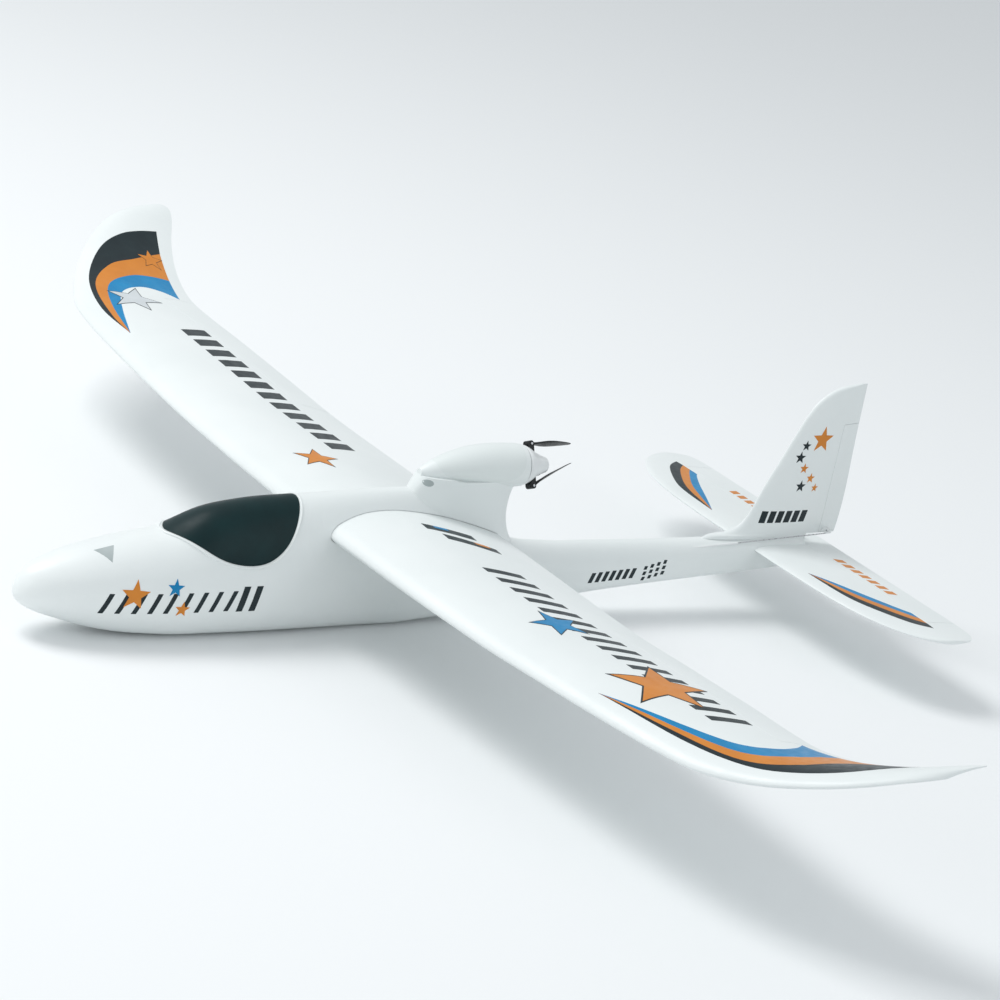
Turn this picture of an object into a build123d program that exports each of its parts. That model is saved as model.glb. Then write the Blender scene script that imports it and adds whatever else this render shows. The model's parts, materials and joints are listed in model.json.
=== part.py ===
from build123d import *
from math import ceil, cos, sin, pi, radians, sqrt, hypot
import os

os.makedirs("parts", exist_ok=True)

# Foam pusher glider, millimetres. +X port wing, +Y aft, +Z up.
# The origin is on the ground under the balance point. Stations are counted aft from the nose tip,
# and heights from the ground that the belly stands on.
BALANCE = 383.0  # station of the balance point
GAP = 0.4  # clearance between parts that move against each other

# Fuselage rings: station, half width, belly, waist, top, squareness of the lower half
RINGS = [
    (2, 8.5, 31.5, 40, 51, 2.0),
    (6, 13.5, 28, 41, 57.5, 2.0),
    (14, 19.5, 23.5, 43, 64, 2.1),
    (30, 26.5, 18, 46, 71.5, 2.2),
    (50, 32, 12.5, 49, 78.5, 2.4),
    (76, 36.5, 6.5, 51, 85, 2.6),
    (105, 40, 2.6, 51, 91, 2.8),
    (139, 42, 0.6, 50, 97, 3.0),
    (160, 42.5, -0.6, 50, 106, 3.0),
    (180, 42.5, -0.6, 50, 116, 3.0),
    (207, 42, -0.6, 50, 123, 3.0),
    (240, 41, -0.6, 50, 127.5, 3.0),
    (277, 38.5, -0.6, 50, 130, 3.0),
    (325, 34.5, -0.6, 51, 133, 3.0),
    (370, 30.5, -0.6, 53, 136, 3.0),
    (408, 27.5, -0.3, 55, 137, 3.2),
    (450, 24, 3, 56, 128, 3.4),
    (500, 20.5, 7, 56, 104, 3.8),
    (543, 18.5, 12.5, 54.5, 83, 4.2),
    (600, 17, 20.5, 52.5, 78.3, 5.0),
    (680, 16, 30, 54, 78.3, 5.0),
    (740, 15.5, 35.5, 58, 78.5, 5.0),
    (790, 15, 39.5, 62, 79, 5.0),
    (840, 14, 43.5, 67, 80, 5.0),
    (885, 12.5, 47, 71, 81, 5.0),
    (928, 11, 49, 73, 81, 4.0),
]
RING_POINTS = 20

# Cabin under the canopy
CABIN_WALL = 8.0
CABIN = (76, 370)  # front and rear station of the hollow
SERVO_BAY = (292, 86)  # behind this station the hollow stays below this height
CANOPY_EDGE = [(139, 97), (153, 96), (181, 84), (210, 76.5), (236, 78.5), (256, 92), (270, 116), (277, 131)]
CANOPY_SKIN = 3.0
HIGH = 170.0  # above every part of the cabin
CANOPY_LIFT = 0.5

# Wing panels: span station, leading edge, trailing edge, height of each, thickness ratio
WING = [
    (40, 306, 512, 100, 93.5, 0.135),
    (130, 309, 506.3, 100, 96, 0.133),
    (250, 314.5, 498.7, 101, 100, 0.130),
    (340, 318, 493, 105.3, 107.2, 0.127),
    (430, 323.5, 487.3, 109.7, 114.5, 0.123),
    (530, 338, 481, 114.5, 122.5, 0.118),
    (575, 357, 487, 122.5, 132, 0.112),
    (614, 381, 498, 136, 146, 0.105),
    (645, 407, 511, 150.5, 160, 0.098),
    (660, 424, 518.5, 159, 168.5, 0.092),
    (670, 438, 521.5, 165, 175, 0.086),
    (677, 451, 521.5, 169, 179, 0.078),
    (681, 462, 518, 171.5, 181, 0.068),
    (683, 472, 512, 173, 182, 0.055),
]
SECTION_GAP = 30.0  # lofted sections stand at most this far apart
WING_CAMBER = 0.045
WING_ROOT = 14.5  # the root stub reaches this close to the centre line
POCKET_END = 14.0
EDGE = 1.2  # trailing edge thickness
AILERON = (270, 525)  # span stations of its ends
AILERON_CHORD = 37.0
JOINER = (380, 107, 5.0, 150.0)  # station, height, radius, half length
SLEEVE_WALL = 1.0
RUNNING = 0.05  # radial clearance of a running fit

# Tail
STAB_SPAN = 242.0
STAB = (857, 972, 70, 9.5)  # leading edge, trailing edge, height, thickness
STAB_TIP = ((78, 4), (24, 24))  # how far the tip rounds off the leading and trailing edge, and how late
STAB_STEPS = 10
ELEVATOR_HINGE = 936.0
ELEVATOR_SPAN = 200.0
FIN = [
    (79, 792, 973, 13),
    (84, 814, 973.8, 12.5),
    (88, 830, 974.2, 12),
    (94, 839.5, 974.5, 12),
    (101, 845, 974.6, 12),
    (127, 855, 973.6, 11.5),
    (164, 869.5, 969.6, 11),
    (201, 884.5, 965.4, 10),
    (218, 892.5, 963.8, 9.5),
    (231, 902, 962.6, 8.5),
    (239, 912, 961.9, 7.5),
    (245, 924, 961.4, 6.5),
    (248.5, 937, 961.1, 5),
    (251.5, 953, 960.9, 3),
]
RUDDER_AXIS = ((953, 85), (945, 206))  # station and height of its lower and upper end
RUDDER_BOTTOM = 84.0

# Motor pod on its pylon
THRUST = 160.0  # height of the propeller axis
POD = [  # station, radius, height of the centre
    (412, 4, 152), (420, 8, 153.5), (437, 13.5, 156), (455, 17.5, 158), (476, 20.3, 159.5),
    (500, 21.4, THRUST), (520, 21.4, THRUST), (529, 20.6, THRUST),
]
PYLON = [  # height, front and rear station, half thickness
    (84, 388, 540, 21), (98, 394, 531, 18), (114, 398, 526, 16.5), (130, 402, 525, 17),
    (142, 407, 526.5, 18.2), (151, 412, 528, 19.5),
]
PYLON_SQUARENESS = 2.5
POD_TOP = THRUST + 21.4
COWL_SKIN = 2.6
COWL_EDGE = [  # station and height of the seam
    (424, 170), (430, 157.5), (443, 151), (470, 149.5), (500, 150.5), (514, 155), (521, 165), (524, 185),
]
COWL_SCREWS = [(440, 11.2), (520.5, 20.4)]  # station and distance of each screw head's face from the thrust line
COWL_SCREW_LIFT = 28.0  # degrees above the horizontal

# Motor and propeller
MOUNT = (518, 523, 18.8)  # front, rear, radius
BELL = (488, 509, 14.0, 1.5)  # front, rear, radius, wall
STATOR_RADIUS = 10.5
SHAFT_RADIUS = 1.6
HUB = (531.5, 549, 8.5)
SPINNER = (530.5, 562, 19.5)
SPINNER_CONE = [(19.5, 533), (17.8, 537.5), (14.2, 544), (11, 551), (8.6, 557.5), (7.4, 561)]
SPINNER_CAVITY = [(18.2, 520), (18.2, 533), (15.6, 537), (12, 543.5), (8.8, 550.5), (6.4, 557)]
BLADE_PIVOT = 20.5  # distance of each fold pin from the axis
BLADE_PIN_STATION = 543.0
BLADE_LENGTH = 53.0
BLADE_TURN = 28.0  # degrees that the blade pair stands turned about the axis
BLADE_TUCK = {"upper": 0.0, "lower": 24.0}  # degrees that each folded blade leans in towards the axis

# Servos and linkages
SERVO = (22.8, 12.0, 22.6)  # length, width, height of the case
WIRE = 0.6  # pushrod radius
TUBE = (0.7, 1.5)  # guide tube bore and outer radius
ARM_THICK = 1.6
TAIL_ARM = 11.0
ELEVATOR_ARM = 12.0
AILERON_ARM = 12.0
SLOT = (1.9, 4.4)  # width and length of the arms' slots
SERVO_STATION = 352.0
ROD_START = (7.0, 38.0)  # distance from the centre line, height


def sta(s):
    """Y of a station."""
    return s - BALANCE


def slope_at(rows, i, column):
    """Slope of a column at row i: the harmonic mean of its two neighbours, or level at a crest."""
    falls = [(b[column] - a[column]) / (b[0] - a[0]) for a, b in zip(rows, rows[1:])]
    if i in (0, len(rows) - 1):
        return falls[0 if i == 0 else -1]
    before, after = falls[i - 1], falls[i]
    return 0.0 if before * after <= 0 else 2 * before * after / (before + after)


def smooth_rows(rows, gap=SECTION_GAP):
    """The rows with more between them, on smooth curves that pass through them and never overshoot."""
    result = []
    for i, (low, high) in enumerate(zip(rows, rows[1:])):
        width = high[0] - low[0]
        steps = ceil(width / gap)
        for k in range(steps):
            t = k / steps
            row = [low[0] + t * width]
            for c in range(1, len(low)):
                start, end = slope_at(rows, i, c) * width, slope_at(rows, i + 1, c) * width
                rise = high[c] - low[c]
                row.append(low[c] + t * start + t**2 * (3 * rise - 2 * start - end) + t**3 * (start + end - 2 * rise))
            result.append(tuple(row))
    return result + [rows[-1]]


def curve_at(rows, x, column):
    """Value of one column of rows at x, straight between two rows."""
    for low, high in zip(rows, rows[1:]):
        if x <= high[0]:
            t = (x - low[0]) / (high[0] - low[0])
            return low[column] + t * (high[column] - low[column])
    return rows[-1][column]


def power(value, exponent):
    """Signed power, for superellipse outlines."""
    return (abs(value) ** exponent) * (1 if value >= 0 else -1)


def ring_points(row, inset=0.0):
    """Closed outline of a fuselage ring: an elliptic upper half on a squarer lower half."""
    _, half, belly, waist, top, square = row
    points = []
    for i in range(RING_POINTS):
        t = 2 * pi * i / RING_POINTS
        up = sin(t) >= 0
        n = 2.0 if up else square
        reach = (top - waist if up else waist - belly) - inset
        points.append(((half - inset) * power(cos(t), 2 / n), waist + reach * power(sin(t), 2 / n)))
    return points


def matched_spline(points, model, closed=False):
    """Smooth line through the points, with the parameters of a model outline, so that the sections
    of a loft match each other."""
    model = model + model[:1] if closed else model
    steps = [0.0]
    for a, b in zip(model, model[1:]):
        steps.append(steps[-1] + hypot(b[0] - a[0], b[1] - a[1]))
    add(Edge.make_spline([Vector(*p) for p in points], periodic=closed, parameters=steps))


def ring_face(row, inset=0.0):
    """Sketch of one fuselage ring on its own station plane."""
    with BuildSketch(Plane.XZ.offset(-sta(row[0]))) as ring:
        with BuildLine():
            matched_spline(ring_points(row, inset), ring_points(RINGS[12]), closed=True)
        make_face()
    return ring.sketch.faces()[0]


def section_points(chord, ratio, camber, margin, count=13):
    """Aerofoil outline from the upper trailing edge round the nose to the lower one, chord along +x."""
    def at(f, side):
        spread = 0.2969 * sqrt(f) - 0.126 * f - 0.3516 * f**2 + 0.2843 * f**3 - 0.1036 * f**4
        thick = 5 * ratio * spread * chord + 0.5 * EDGE * f + (margin if f > 0 else 0)
        return (f * chord + margin * (2 * f - 1), camber_line(f, camber) * chord + side * thick)
    spacing = [(1 - cos(pi * i / (count - 1))) / 2 for i in range(count)]
    return [at(f, 1) for f in reversed(spacing)] + [at(f, -1) for f in spacing[1:]]


def camber_line(f, camber, crest=0.4):
    """Height of the mean line over the chord, as a share of the chord."""
    if f < crest:
        return camber / crest**2 * (2 * crest * f - f**2)
    return camber / (1 - crest) ** 2 * (1 - 2 * crest + 2 * crest * f - f**2)


def aerofoil(plane, lead, trail, ratio, camber=0.0, margin=0.0):
    """Aerofoil face between two points of the plane, grown by a margin all round."""
    run = (trail[0] - lead[0], trail[1] - lead[1])
    chord = hypot(*run)
    c, s = run[0] / chord, run[1] / chord
    points = [
        (lead[0] + x * c - y * s, lead[1] + x * s + y * c)
        for x, y in section_points(chord, ratio, camber, margin)
    ]
    with BuildSketch(plane) as section:
        with BuildLine():
            matched_spline(points, section_points(100, 0.12, 0.0, 0.0))
            Line(points[-1], points[0])
        make_face()
    return section.sketch.faces()[0]


def wing_face(row, margin=0.0):
    """One rib outline of the port wing."""
    x, lead, trail, lead_z, trail_z, ratio = row
    ends = (sta(lead), lead_z), (sta(trail), trail_z)
    return aerofoil(Plane.YZ.offset(x), *ends, ratio, WING_CAMBER, margin)


def wing_point(x, trail_distance):
    """Point in the middle of the wing's thickness, that far ahead of the trailing edge."""
    lead, trail, lead_z, trail_z = (curve_at(wing_rows, x, c) for c in (1, 2, 3, 4))
    chord = trail - lead
    f = 1 - trail_distance / chord
    return Vector(x, sta(lead + f * chord), lead_z + f * (trail_z - lead_z) + camber_line(f, WING_CAMBER) * chord)


def rod_between(a, b, radius):
    """Round bar from point a to point b, added to the part being built."""
    run = Vector(*b) - Vector(*a)
    with BuildSketch(Plane(origin=a, z_dir=run)) as end:
        Circle(radius)
    extrude(end.sketch, amount=run.length)


def export(builder, label):
    """Labels a finished piece and writes it."""
    builder.part.label = label
    export_step(builder.part, f"parts/{label}.step")


def mirrored(builder, label):
    """Starboard twin of a port piece."""
    with BuildPart() as twin:
        mirror(builder.part, about=Plane.YZ)
    export(twin, label)


def knuckle_space(plane, length, radius, reach, margin):
    """Space a hinged surface takes: all that is aft of its axis, and a round nose about the axis.
    The plane's x runs along the axis from its first end, its y points aft, and its z is up."""
    with BuildPart() as space:
        with BuildSketch(plane):
            with Locations((length / 2, reach / 2)):
                Rectangle(length + 2 * margin, reach)
        extrude(amount=reach / 2, both=True)
        with BuildSketch(Plane(origin=plane.origin - plane.x_dir * margin, z_dir=plane.x_dir)):
            Circle(radius + margin)
        extrude(amount=length + 2 * margin)
    return space.part



def box(x, s, z):
    """Box between two x values, two stations and two heights, added to the part being built."""
    with BuildSketch(Plane.XY.offset(z[0])) as base:
        with Locations(((x[0] + x[1]) / 2, sta((s[0] + s[1]) / 2))):
            Rectangle(x[1] - x[0], s[1] - s[0])
    extrude(base.sketch, amount=z[1] - z[0])


def disc(front, rear, radius, bore=0.0):
    """Ring or disc about the thrust line between two stations, added to the part being built."""
    with BuildSketch(Plane.XZ.offset(-sta(front))) as face:
        with Locations((0, THRUST)):
            Circle(radius)
            if bore:
                Circle(bore, mode=Mode.SUBTRACT)
    extrude(face.sketch, amount=front - rear)


def bent_wire(*points):
    """Pushrod wire with round corners through its points, added to the part being built."""
    for a, b in zip(points, points[1:]):
        rod_between(a, b, WIRE)
    for corner in points[1:-1]:
        with Locations(corner):
            Sphere(WIRE)


# ---------------------------------------------------------------- outer shapes

body_rows = smooth_rows(RINGS)
body_faces = [ring_face(row) for row in body_rows]
with BuildPart() as body_solid:
    loft([Vertex(0, sta(0), 40.5)] + body_faces)

cabin_faces = [ring_face(row, CABIN_WALL) for row in body_rows if CABIN[0] <= row[0] <= CABIN[1]]
with BuildPart() as cabin_space:
    loft(cabin_faces)
    box_above = (SERVO_BAY[0], CABIN[1] + 5)
    with BuildSketch(Plane.XY.offset(SERVO_BAY[1])):
        with Locations((0, sta(sum(box_above) / 2))):
            Rectangle(100, box_above[1] - box_above[0])
    extrude(amount=HIGH - SERVO_BAY[1], mode=Mode.SUBTRACT)


def above_edge(lift):
    """Everything above the canopy's edge line, as seen from the side, raised by lift."""
    edge = [(sta(s), z + lift) for s, z in CANOPY_EDGE]
    with BuildPart() as region:
        with BuildSketch(Plane.YZ):
            with BuildLine():
                Spline(*edge)
                Polyline(edge[-1], (edge[-1][0], HIGH), (edge[0][0], HIGH), edge[0])
            make_face()
        extrude(amount=60, both=True)
    return region.part


with BuildPart() as cowl_region:
    seam = [(sta(s), z) for s, z in COWL_EDGE]
    with BuildSketch(Plane.YZ):
        with BuildLine():
            Spline(*seam)
            Polyline(seam[-1], (seam[-1][0], 2 * POD_TOP - THRUST), (seam[0][0], 2 * POD_TOP - THRUST), seam[0])
        make_face()
    extrude(amount=30, both=True)


def pod_circles(inset=0.0, first=0.0, last=600.0):
    """Pod sections between two stations, smaller all round by the inset."""
    faces = []
    for station, radius, height in POD:
        if first <= station <= last:
            with BuildSketch(Plane.XZ.offset(-sta(station))) as ring:
                with Locations((0, height)):
                    Circle(radius - inset)
            faces.append(ring.sketch.faces()[0])
    return faces


pod_faces = pod_circles()
with BuildPart() as pod_solid:
    loft(pod_faces)

room_faces = pod_circles(COWL_SKIN, 455, 520)
with BuildPart() as motor_room:
    loft(room_faces)
    disc(519, 535, POD[-2][1] - COWL_SKIN)

wing_rows = smooth_rows(WING)
wing_faces = [wing_face(row) for row in wing_rows]
root_face = wing_face((WING_ROOT,) + WING[0][1:])
with BuildPart() as wing_solid:
    loft(wing_faces)
    extrude(root_face, amount=WING[0][0] - WING_ROOT)

pocket_face = wing_face((POCKET_END,) + WING[0][1:], GAP)
with BuildPart() as wing_pocket:
    extrude(pocket_face, amount=60)


def stab_face(x):
    """Section of the stabiliser."""
    share = abs(x) / STAB_SPAN
    lead, trail = (far * (1 - sqrt(1 - share**late)) for far, late in STAB_TIP)
    lead, trail = STAB[0] + lead, STAB[1] - trail
    thick = STAB[3] * (1 - 0.5 * share**3)
    ends = (sta(lead), STAB[2]), (sta(trail), STAB[2])
    return aerofoil(Plane.YZ.offset(x), *ends, thick / max(trail - lead, 40))


stab_faces = [
    stab_face(STAB_SPAN * sin(pi / 2 * i / STAB_STEPS)) for i in range(-STAB_STEPS, STAB_STEPS + 1)
]
with BuildPart() as stab_solid:
    loft(stab_faces)

fin_faces = [
    aerofoil(Plane.XY.offset(height), (0, sta(lead)), (0, sta(trail)), thick / (trail - lead))
    for height, lead, trail, thick in FIN
]
with BuildPart() as fin_solid:
    loft(fin_faces)

# ---------------------------------------------------------------- hinge frames

low, high = (Vector(0, sta(s), z) for s, z in RUDDER_AXIS)
rudder_plane = Plane(origin=low, x_dir=high - low, z_dir=(-1, 0, 0))
rudder_length = (high - low).length
elevator_plane = Plane(origin=(-ELEVATOR_SPAN, sta(ELEVATOR_HINGE), STAB[2]), x_dir=(1, 0, 0), z_dir=(0, 0, 1))
aileron_in, aileron_out = (wing_point(x, AILERON_CHORD) for x in AILERON)
along = (aileron_out - aileron_in).normalized()
upward = (Vector(0, 0, 1) - along * along.Z).normalized()
aileron_plane = Plane(origin=aileron_in, x_dir=along, z_dir=upward)
aileron_length = (aileron_out - aileron_in).length
RUDDER_NOSE, ELEVATOR_NOSE, AILERON_NOSE = 3.9, 3.9, 6.6


def hinge_point(plane, u, v, n):
    """Point in a hinge frame: along the axis, aft of it and above it."""
    return plane.from_local_coords(Vector(u, v, n))

# ---------------------------------------------------------------- servos, arms, rods

horn_root = [(1.5, -4.5), (9, -4.5), (9, 4), (3.2, 15), (-3.2, 15), (-3.2, 8), (1.5, 4.8)]


def horn_plate(plane, radius):
    """Control horn: a plate with a slot at the given distance from the hinge axis, in the plane's x and y."""
    with BuildSketch(plane.offset(-ARM_THICK / 2)) as plate:
        with BuildLine():
            Polyline(*horn_root, close=True)
        make_face()
        with Locations((0, radius + 0.4)):
            Rectangle(SLOT[0], SLOT[1], mode=Mode.SUBTRACT)
    extrude(plate.sketch, amount=ARM_THICK)


def servo_arm(plane, radius, slot):
    """Servo arm along the plane's +x from its shaft, with a slot or a round hole near its end."""
    with BuildSketch(plane.offset(-ARM_THICK / 2)) as plate:
        with BuildLine():
            ends = [(0, 3.4), (radius + 3, 2.2), (radius + 3, -2.2), (0, -3.4)]
            Polyline(*ends, close=True)
        make_face()
        Circle(3.4)
        if slot:
            with Locations((radius + 0.4, 0)):
                Rectangle(SLOT[1], SLOT[0], mode=Mode.SUBTRACT)
        else:
            with Locations((radius, 0)):
                Circle(WIRE + RUNNING, mode=Mode.SUBTRACT)
    extrude(plate.sketch, amount=ARM_THICK)
    with BuildSketch(plane.offset(-ARM_THICK / 2)) as shaft:
        Circle(SERVO_SHAFT)
    extrude(shaft.sketch, amount=-SERVO_NECK)


SERVO_SHAFT = 2.4
SERVO_NECK = 3.0
SERVO_END = 6.2  # distance of the shaft from the near end of the case


def servo_case(plane, holes=True):
    """Servo case below the plane, its shaft at the origin and its length along the plane's +y."""
    top = -ARM_THICK / 2 - 1.0
    with BuildSketch(plane.offset(top)) as lid:
        with Locations((0, SERVO[0] / 2 - SERVO_END)):
            Rectangle(SERVO[1], SERVO[0])
    extrude(lid.sketch, amount=-SERVO[2])
    with BuildSketch(plane.offset(top - 7)) as ears:
        with Locations((0, SERVO[0] / 2 - SERVO_END)):
            Rectangle(SERVO[1], SERVO[0] + 9.6)
            if holes:
                with GridLocations(0, SERVO[0] + 5, 1, 2):
                    Circle(1.1, mode=Mode.SUBTRACT)
    extrude(ears.sketch, amount=2.4)
    if holes:
        with BuildSketch(plane.offset(top)) as bore:
            Circle(SERVO_SHAFT + RUNNING)
        extrude(bore.sketch, amount=-4, mode=Mode.SUBTRACT)


rod_x, rod_z = ROD_START
arm_z = rod_z - 2.2
linkages = {}
for name, side, radius in (("rudder", 1, TAIL_ARM), ("elevator", -1, ELEVATOR_ARM)):
    axis = (side * (rod_x + radius), sta(SERVO_STATION), arm_z)
    arm_plane = Plane(origin=axis, x_dir=(-side, 0, 0), z_dir=(0, 0, 1))
    case_plane = Plane(origin=axis, x_dir=(1, 0, 0), z_dir=(0, 0, 1))
    with BuildPart() as arm:
        servo_arm(arm_plane, radius, True)
    with BuildPart() as case:
        servo_case(case_plane)
    with BuildPart() as seat:
        servo_case(case_plane, holes=False)
    linkages[name] = {"arm": arm, "case": case, "seat": seat}

rudder_pin = hinge_point(rudder_plane, 4, 0, -TAIL_ARM)
elevator_pin = hinge_point(elevator_plane, ELEVATOR_SPAN - 10, 0, ELEVATOR_ARM)
rod_ends = {
    "rudder": rudder_pin - rudder_plane.x_dir * 2.2,
    "elevator": elevator_pin + Vector(2.2, 0, 0),
}
pin_ways = {"rudder": rudder_plane.x_dir * 4.4, "elevator": Vector(-4.4, 0, 0)}
TUBE_RANGE = {"rudder": (0.05, 0.80), "elevator": (0.05, 0.82)}
for name, side in (("rudder", 1), ("elevator", -1)):
    start = Vector(side * rod_x, sta(SERVO_STATION), rod_z)
    end = rod_ends[name]
    run = end - start
    with BuildPart() as rod:
        bent_wire(start - Vector(0, 0, 4.4), start, end, end + pin_ways[name])
    first, last = (start + run * t for t in TUBE_RANGE[name])
    with BuildPart() as tube:
        rod_between(first, last, TUBE[1])
        with BuildSketch(Plane(origin=first, z_dir=run)):
            Circle(TUBE[0])
        extrude(amount=(last - first).length, mode=Mode.SUBTRACT)
    with BuildPart() as way:
        rod_between(start + run * 0.02, end, TUBE[1])
    linkages[name].update(rod=rod, tube=tube, way=way)

horn_u = 40.0  # place of the aileron horn along the hinge
arm_v, arm_n = -34.0, -0.5  # the servo shaft stands this far ahead of the hinge and above it
axis_point = hinge_point(aileron_plane, horn_u, arm_v, arm_n)
down = aileron_plane.z_dir * -1
aileron_arm_plane = Plane(origin=axis_point, x_dir=down, z_dir=aileron_plane.x_dir * -1)
aileron_case_plane = Plane(origin=axis_point, x_dir=down, z_dir=aileron_plane.x_dir * -1)
with BuildPart() as left_aileron_servo_arm:
    servo_arm(aileron_arm_plane, AILERON_ARM, False)
with BuildPart() as left_aileron_servo:
    servo_case(aileron_case_plane)
with BuildPart() as aileron_servo_seat:
    servo_case(aileron_case_plane, holes=False)
rod_u = horn_u - 2.2
with BuildPart() as left_aileron_pushrod:
    corners = [(horn_u + 2, arm_v, arm_n), (rod_u, arm_v, arm_n), (rod_u, 0, 0), (horn_u + 2, 0, 0)]
    bent_wire(*[hinge_point(aileron_plane, u, v, n - AILERON_ARM) for u, v, n in corners])
with BuildPart() as left_aileron_horn:
    horn = Plane(origin=hinge_point(aileron_plane, horn_u, 0, 0), x_dir=aileron_plane.y_dir, z_dir=aileron_plane.x_dir * -1)
    with BuildSketch(horn.offset(-ARM_THICK / 2)):
        with BuildLine():
            Polyline((2, -3), (10, -3), (10, 4), (3.2, 14.5), (-3.2, 14.5), (-3.2, 9), (2, 5), close=True)
        make_face()
        with Locations((0, AILERON_ARM)):
            Circle(WIRE + RUNNING, mode=Mode.SUBTRACT)
    extrude(amount=ARM_THICK)
with BuildPart() as arm_slot:
    slot_plane = Plane(origin=axis_point, x_dir=aileron_plane.y_dir, z_dir=aileron_plane.x_dir)
    with BuildSketch(slot_plane.offset(-2.2)):
        with Locations((0, -8)):
            Rectangle(16, 25)
    extrude(amount=4.2)

# ---------------------------------------------------------------- wings

aileron_space = knuckle_space(aileron_plane, aileron_length, AILERON_NOSE, 80, 0)
aileron_room = knuckle_space(aileron_plane, aileron_length, AILERON_NOSE, 80, GAP)
tube_station, tube_height, tube_radius, tube_half = JOINER

with BuildPart() as left_wing_sleeve:
    rod_between((WING_ROOT, sta(tube_station), tube_height), (tube_half + 6, sta(tube_station), tube_height),
                tube_radius + SLEEVE_WALL)
    with BuildSketch(Plane.YZ.offset(WING_ROOT)):
        with Locations((sta(tube_station), tube_height)):
            Circle(tube_radius + RUNNING)
    extrude(amount=tube_half + 4 - WING_ROOT, mode=Mode.SUBTRACT)

with BuildPart() as left_aileron:
    add(wing_solid.part)
    add(aileron_space, mode=Mode.INTERSECT)
    add(left_aileron_horn.part, mode=Mode.SUBTRACT)

with BuildPart() as sleeve_hole:
    rod_between((WING_ROOT, sta(tube_station), tube_height), (tube_half + 6, sta(tube_station), tube_height),
                tube_radius + SLEEVE_WALL)

with BuildPart() as left_wing:
    add(wing_solid.part)
    add(aileron_room, mode=Mode.SUBTRACT)
    add(sleeve_hole.part, mode=Mode.SUBTRACT)
    add(aileron_servo_seat.part, mode=Mode.SUBTRACT)
    add(arm_slot.part, mode=Mode.SUBTRACT)

port_pieces = {
    "wing": left_wing,
    "wing_sleeve": left_wing_sleeve,
    "aileron": left_aileron,
    "aileron_horn": left_aileron_horn,
    "aileron_servo": left_aileron_servo,
    "aileron_servo_arm": left_aileron_servo_arm,
    "aileron_pushrod": left_aileron_pushrod,
}
for label, piece in port_pieces.items():
    export(piece, f"left_{label}")
    mirrored(piece, f"right_{label}")

# ---------------------------------------------------------------- tail

with BuildPart() as rudder_horn:
    horn_plane = Plane(origin=hinge_point(rudder_plane, 4, 0, 0), x_dir=rudder_plane.y_dir, z_dir=rudder_plane.x_dir * -1)
    horn_plate(horn_plane, TAIL_ARM)
export(rudder_horn, "rudder_horn")
with BuildPart() as elevator_horn:
    horn_plane = Plane(origin=hinge_point(elevator_plane, ELEVATOR_SPAN - 10, 0, 0), x_dir=(0, 1, 0), z_dir=(1, 0, 0))
    horn_plate(horn_plane, ELEVATOR_ARM)
export(elevator_horn, "elevator_horn")

rudder_space = knuckle_space(rudder_plane, rudder_length, RUDDER_NOSE, 60, 0)
with BuildPart() as rudder:
    add(fin_solid.part)
    add(rudder_space, mode=Mode.INTERSECT)
    split(bisect_by=Plane.XY.offset(RUDDER_BOTTOM), keep=Keep.TOP)
    add(rudder_horn.part, mode=Mode.SUBTRACT)
export(rudder, "rudder")

elevator_space = knuckle_space(elevator_plane, 2 * ELEVATOR_SPAN, ELEVATOR_NOSE, 90, 0)
with BuildPart() as elevator:
    add(stab_solid.part)
    add(elevator_space, mode=Mode.INTERSECT)
    add(elevator_horn.part, mode=Mode.SUBTRACT)
export(elevator, "elevator")

elevator_room = knuckle_space(elevator_plane, 2 * ELEVATOR_SPAN, ELEVATOR_NOSE, 90, GAP)
with BuildPart() as stabiliser:
    add(stab_solid.part)
    add(elevator_room, mode=Mode.SUBTRACT)
export(stabiliser, "stabiliser")

hinge_room = knuckle_space(rudder_plane, rudder_length, RUDDER_NOSE, 60, GAP)
with BuildPart() as rudder_room:
    add(hinge_room)
    box((-12, 12), (ELEVATOR_HINGE - 4, 990), (60, RUDDER_BOTTOM))

with BuildPart() as fin:
    add(fin_solid.part)
    add(rudder_room.part, mode=Mode.SUBTRACT)
export(fin, "fin")

# ---------------------------------------------------------------- motor and propeller

with BuildPart() as motor_mount_screws:
    with BuildSketch(Plane.XZ.offset(-sta(MOUNT[1] + 2))):
        with Locations((0, THRUST)):
            with PolarLocations(8, 4, 45):
                Circle(2.6)
    extrude(amount=2)
    with BuildSketch(Plane.XZ.offset(-sta(MOUNT[1]))):
        with Locations((0, THRUST)):
            with PolarLocations(8, 4, 45):
                Circle(1.5)
    extrude(amount=8)
export(motor_mount_screws, "motor_mount_screws")

with BuildPart() as cowl_screws:
    for station, reach in COWL_SCREWS:
        for side in (-1, 1):
            way = Vector(side * cos(radians(COWL_SCREW_LIFT)), 0, sin(radians(COWL_SCREW_LIFT)))
            centre = Vector(0, sta(station), THRUST - (2.5 if station < 480 else 0))
            rod_between(centre + way * reach, centre + way * (reach - 1.4), 2.3)
            rod_between(centre + way * (reach - 1.4), centre + way * (reach - 6), 1.1)
export(cowl_screws, "cowl_screws")

with BuildPart() as motor_mount:
    disc(*MOUNT, 5)
    add(motor_mount_screws.part, mode=Mode.SUBTRACT)
    add(cowl_screws.part, mode=Mode.SUBTRACT)
export(motor_mount, "motor_mount")

with BuildPart() as motor_stator:
    disc(514, MOUNT[0], 12.5)
    disc(490.5, 514, 4)
    disc(492, 508, STATOR_RADIUS)
    with BuildSketch(Plane.XZ.offset(-sta(480))):
        with Locations((0, THRUST)):
            Circle(SHAFT_RADIUS + RUNNING)
    extrude(amount=-50, mode=Mode.SUBTRACT)
    add(motor_mount_screws.part, mode=Mode.SUBTRACT)
export(motor_stator, "motor_stator")

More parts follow.
